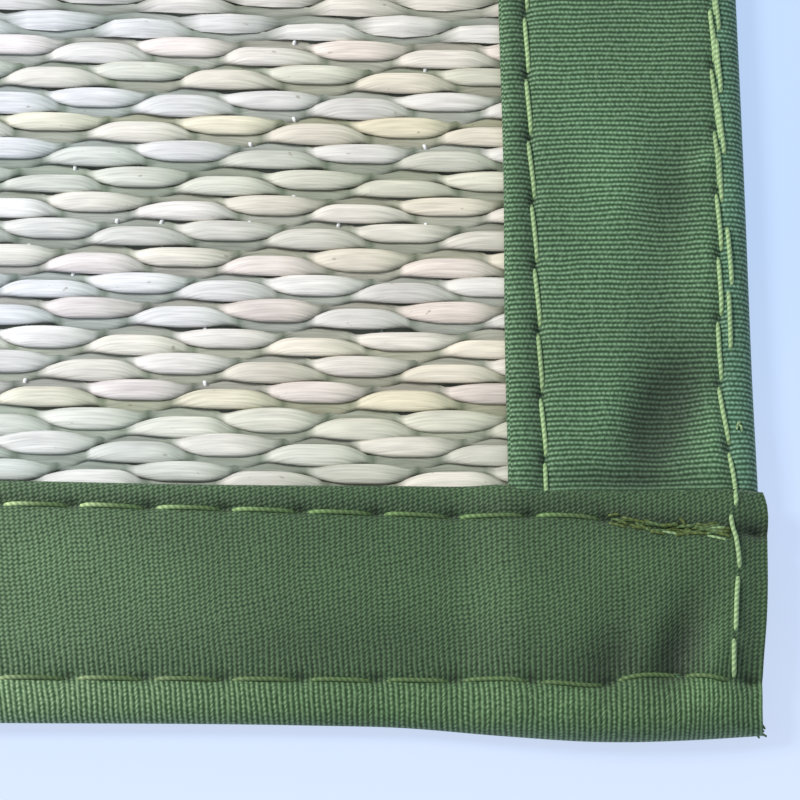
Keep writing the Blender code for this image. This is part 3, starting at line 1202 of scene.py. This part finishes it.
def make_end_sewing(name, binding, material, seed):
    """The end binding's two seams, and the side seams' last stitches, which run on over it."""
    sewing = Sewing(name, seed)
    for upper in (True, False):
        sewing.seam(binding, 0, -197, 184.3, upper=upper)
        sewing.seam(binding, 1, -197, 197, upper=upper)
    # Its last stitch is coloured as thread in painted shade.
    sewing.last_stitch(binding, 1, 191.9, 196.4, SHADED_THREAD)
    side = Binding("side", binding.turned)
    for end in (1, -1):
        for start, stop in SIDE_SEAM_END:

            def point_of(y, slide):
                x = hand_line(SIDE_OUTER_SEAM, y) + slide
                on_end = binding.surface(end * x, END_OUTER + y)
                on_side = side.surface(y, SIDE_OUTER - x)
                if end != 1:
                    on_side = on_side * np.array([-1, 1, 1])
                over = smooth(y, -275.0, -276.2)[:, None]
                return on_side + (on_end - on_side) * over

            sewing.stitch(point_of, start, stop, True, fine=not binding.turned and end == 1, slant=0.1)
            if start < -277:

                def below(y, slide):
                    x = hand_line(SIDE_OUTER_SEAM, y) + slide
                    return binding.surface(end * x, END_OUTER + y, False)

                sewing.stitch(below, start, stop, False)
    overstitch(sewing, binding)
    # The frayed ends are coloured as thread in painted shade.
    if not binding.turned:
        for points in FRAYED:
            sewing.loose(points, 0.13, SHADED_THREAD)
    return sewing.finish(material)


def overstitch(sewing, binding):
    """The tangle of short olive stitches that ends the inner seam at the mat's corner."""
    for _ in range(44):
        start = sewing.rng.uniform(184.4, 195.4)
        length = sewing.rng.uniform(0.9, 2.6)
        beside = sewing.rng.normal(0, 0.28)
        lean = sewing.rng.normal(0, 0.45)

        def point_of(place, slide):
            return binding.surface(place, binding.seams(place)[0] + beside - slide)

        # Some stitches of the tangle are coloured as thread in painted shade.
        colour = (OLIVE, SHADED_THREAD, THREAD)[sewing.rng.choice(3, p=(0.52, 0.36, 0.12))]
        end = min(start + length, 196.2)
        radius = sewing.rng.uniform(0.12, 0.18)
        sewing.stitch(point_of, start, end, True, not binding.turned, radius, lean, colour, sink=0.42)


# The stage

FLOOR_GLOW = 0.80
UNDER_MAT = (0.1955, 0.2945)
FRONT_TONE = (-0.308, -0.246)


def make_floor():
    shader = Shader("floor")
    place = shader.nodes.new("ShaderNodeTexCoord").outputs["Object"]
    soft = shader.noise(place, 3.0, 2.0)
    parts = shader.nodes.new("ShaderNodeSeparateXYZ")
    shader.links.new(place, parts.inputs[0])
    beyond_x = shader.math("SUBTRACT", shader.math("ABSOLUTE", parts.outputs[0]), UNDER_MAT[0])
    beyond_y = shader.math("SUBTRACT", shader.math("ABSOLUTE", parts.outputs[1]), UNDER_MAT[1])
    beyond = shader.math("MAXIMUM", beyond_x, beyond_y)
    # Outside the mat the floor glows, painted light that also fills in the mat's shadow on it. Under the mat
    # it does not glow, and its grey-green, seen through the weave's gaps, is painted shade.
    open_floor = shader.math("GREATER_THAN", beyond, 0.0)
    pale = shader.mix(soft, (0.11, 0.14, 0.20, 1.0), (0.12, 0.15, 0.21, 1.0))
    colour = shader.mix(open_floor, (0.50, 0.54, 0.47, 1.0), pale)
    shader.feed("Base Color", colour)
    front = shader.rescale(parts.outputs[1], FRONT_TONE[0], FRONT_TONE[1], 1.0, 0.0)
    glow = shader.mix(front, (0.55, 0.72, 1.0, 1.0), (0.72, 0.81, 1.01, 1.0))
    shader.feed("Emission Color", glow)
    shader.feed("Emission Strength", shader.times(open_floor, FLOOR_GLOW))
    shader.feed("Roughness", 0.7)
    mesh = bpy.data.meshes.new("floor")
    reach = 3.0
    ground = -0.00004
    corners = [(x * reach, y * reach, ground) for x, y in ((-1, -1), (1, -1), (1, 1), (-1, 1))]
    mesh.from_pydata(corners, [], [(0, 1, 2, 3)])
    mesh.materials.append(shader.material)
    floor = bpy.data.objects.new("floor", mesh)
    bpy.context.scene.collection.objects.link(floor)


KEY_PLACE = Vector((-0.62, -0.02, 0.70))
KEY_TARGET = Vector((0.16, -0.26, 0.0))


def make_key_light():
    lamp = bpy.data.lights.new("key", "AREA")
    lamp.shape = "DISK"
    lamp.size = 0.36
    lamp.energy = 11.5
    lamp.color = (1.0, 0.99, 0.96)
    holder = bpy.data.objects.new("key", lamp)
    bpy.context.scene.collection.objects.link(holder)
    holder.location = KEY_PLACE
    direction = KEY_TARGET - KEY_PLACE
    holder.rotation_euler = direction.to_track_quat("-Z", "Y").to_euler()


def make_world():
    world = bpy.data.worlds.new("studio")
    bpy.context.scene.world = world
    world.use_nodes = True
    background = world.node_tree.nodes["Background"]
    background.inputs["Color"].default_value = (0.80, 0.88, 1.0, 1.0)
    background.inputs["Strength"].default_value = 0.58


def make_camera():
    lens = bpy.data.cameras.new("camera")
    lens.lens = 202.5
    lens.sensor_width = 36
    lens.clip_start = 0.02
    lens.clip_end = 20
    camera = bpy.data.objects.new("camera", lens)
    bpy.context.scene.collection.objects.link(camera)
    camera.location = (0.14047, -0.43127, 0.40068)
    camera.rotation_euler = [math.radians(turn) for turn in (22.533, -3.312, -0.524)]
    bpy.context.scene.camera = camera


reed = reed_material()
cloth = cloth_material()
thread = thread_material()
reeds = make_reeds(reed)
make_warps(warp_material())
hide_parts("woven_panel")

BINDINGS = (
    ("side_binding_right", "side", False),
    ("side_binding_left", "side", True),
    ("end_binding_front", "end", False),
    ("end_binding_back", "end", True),
)
for number, (node, kind, turned) in enumerate(BINDINGS):
    binding = Binding(kind, turned)
    lean, drop = (-2.6, 0.0) if kind == "side" else (-6.8, 9.3)
    piece = make_binding("cloth_" + node, binding, cloth, lean, drop)
    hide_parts(node)
    make_sewing = make_side_sewing if kind == "side" else make_end_sewing
    sewn = make_sewing("sewing_" + node, binding, thread, SEED + 10 + number)

make_floor()
make_world()
make_key_light()
make_camera()
bpy.context.scene.view_settings.view_transform = "Standard"
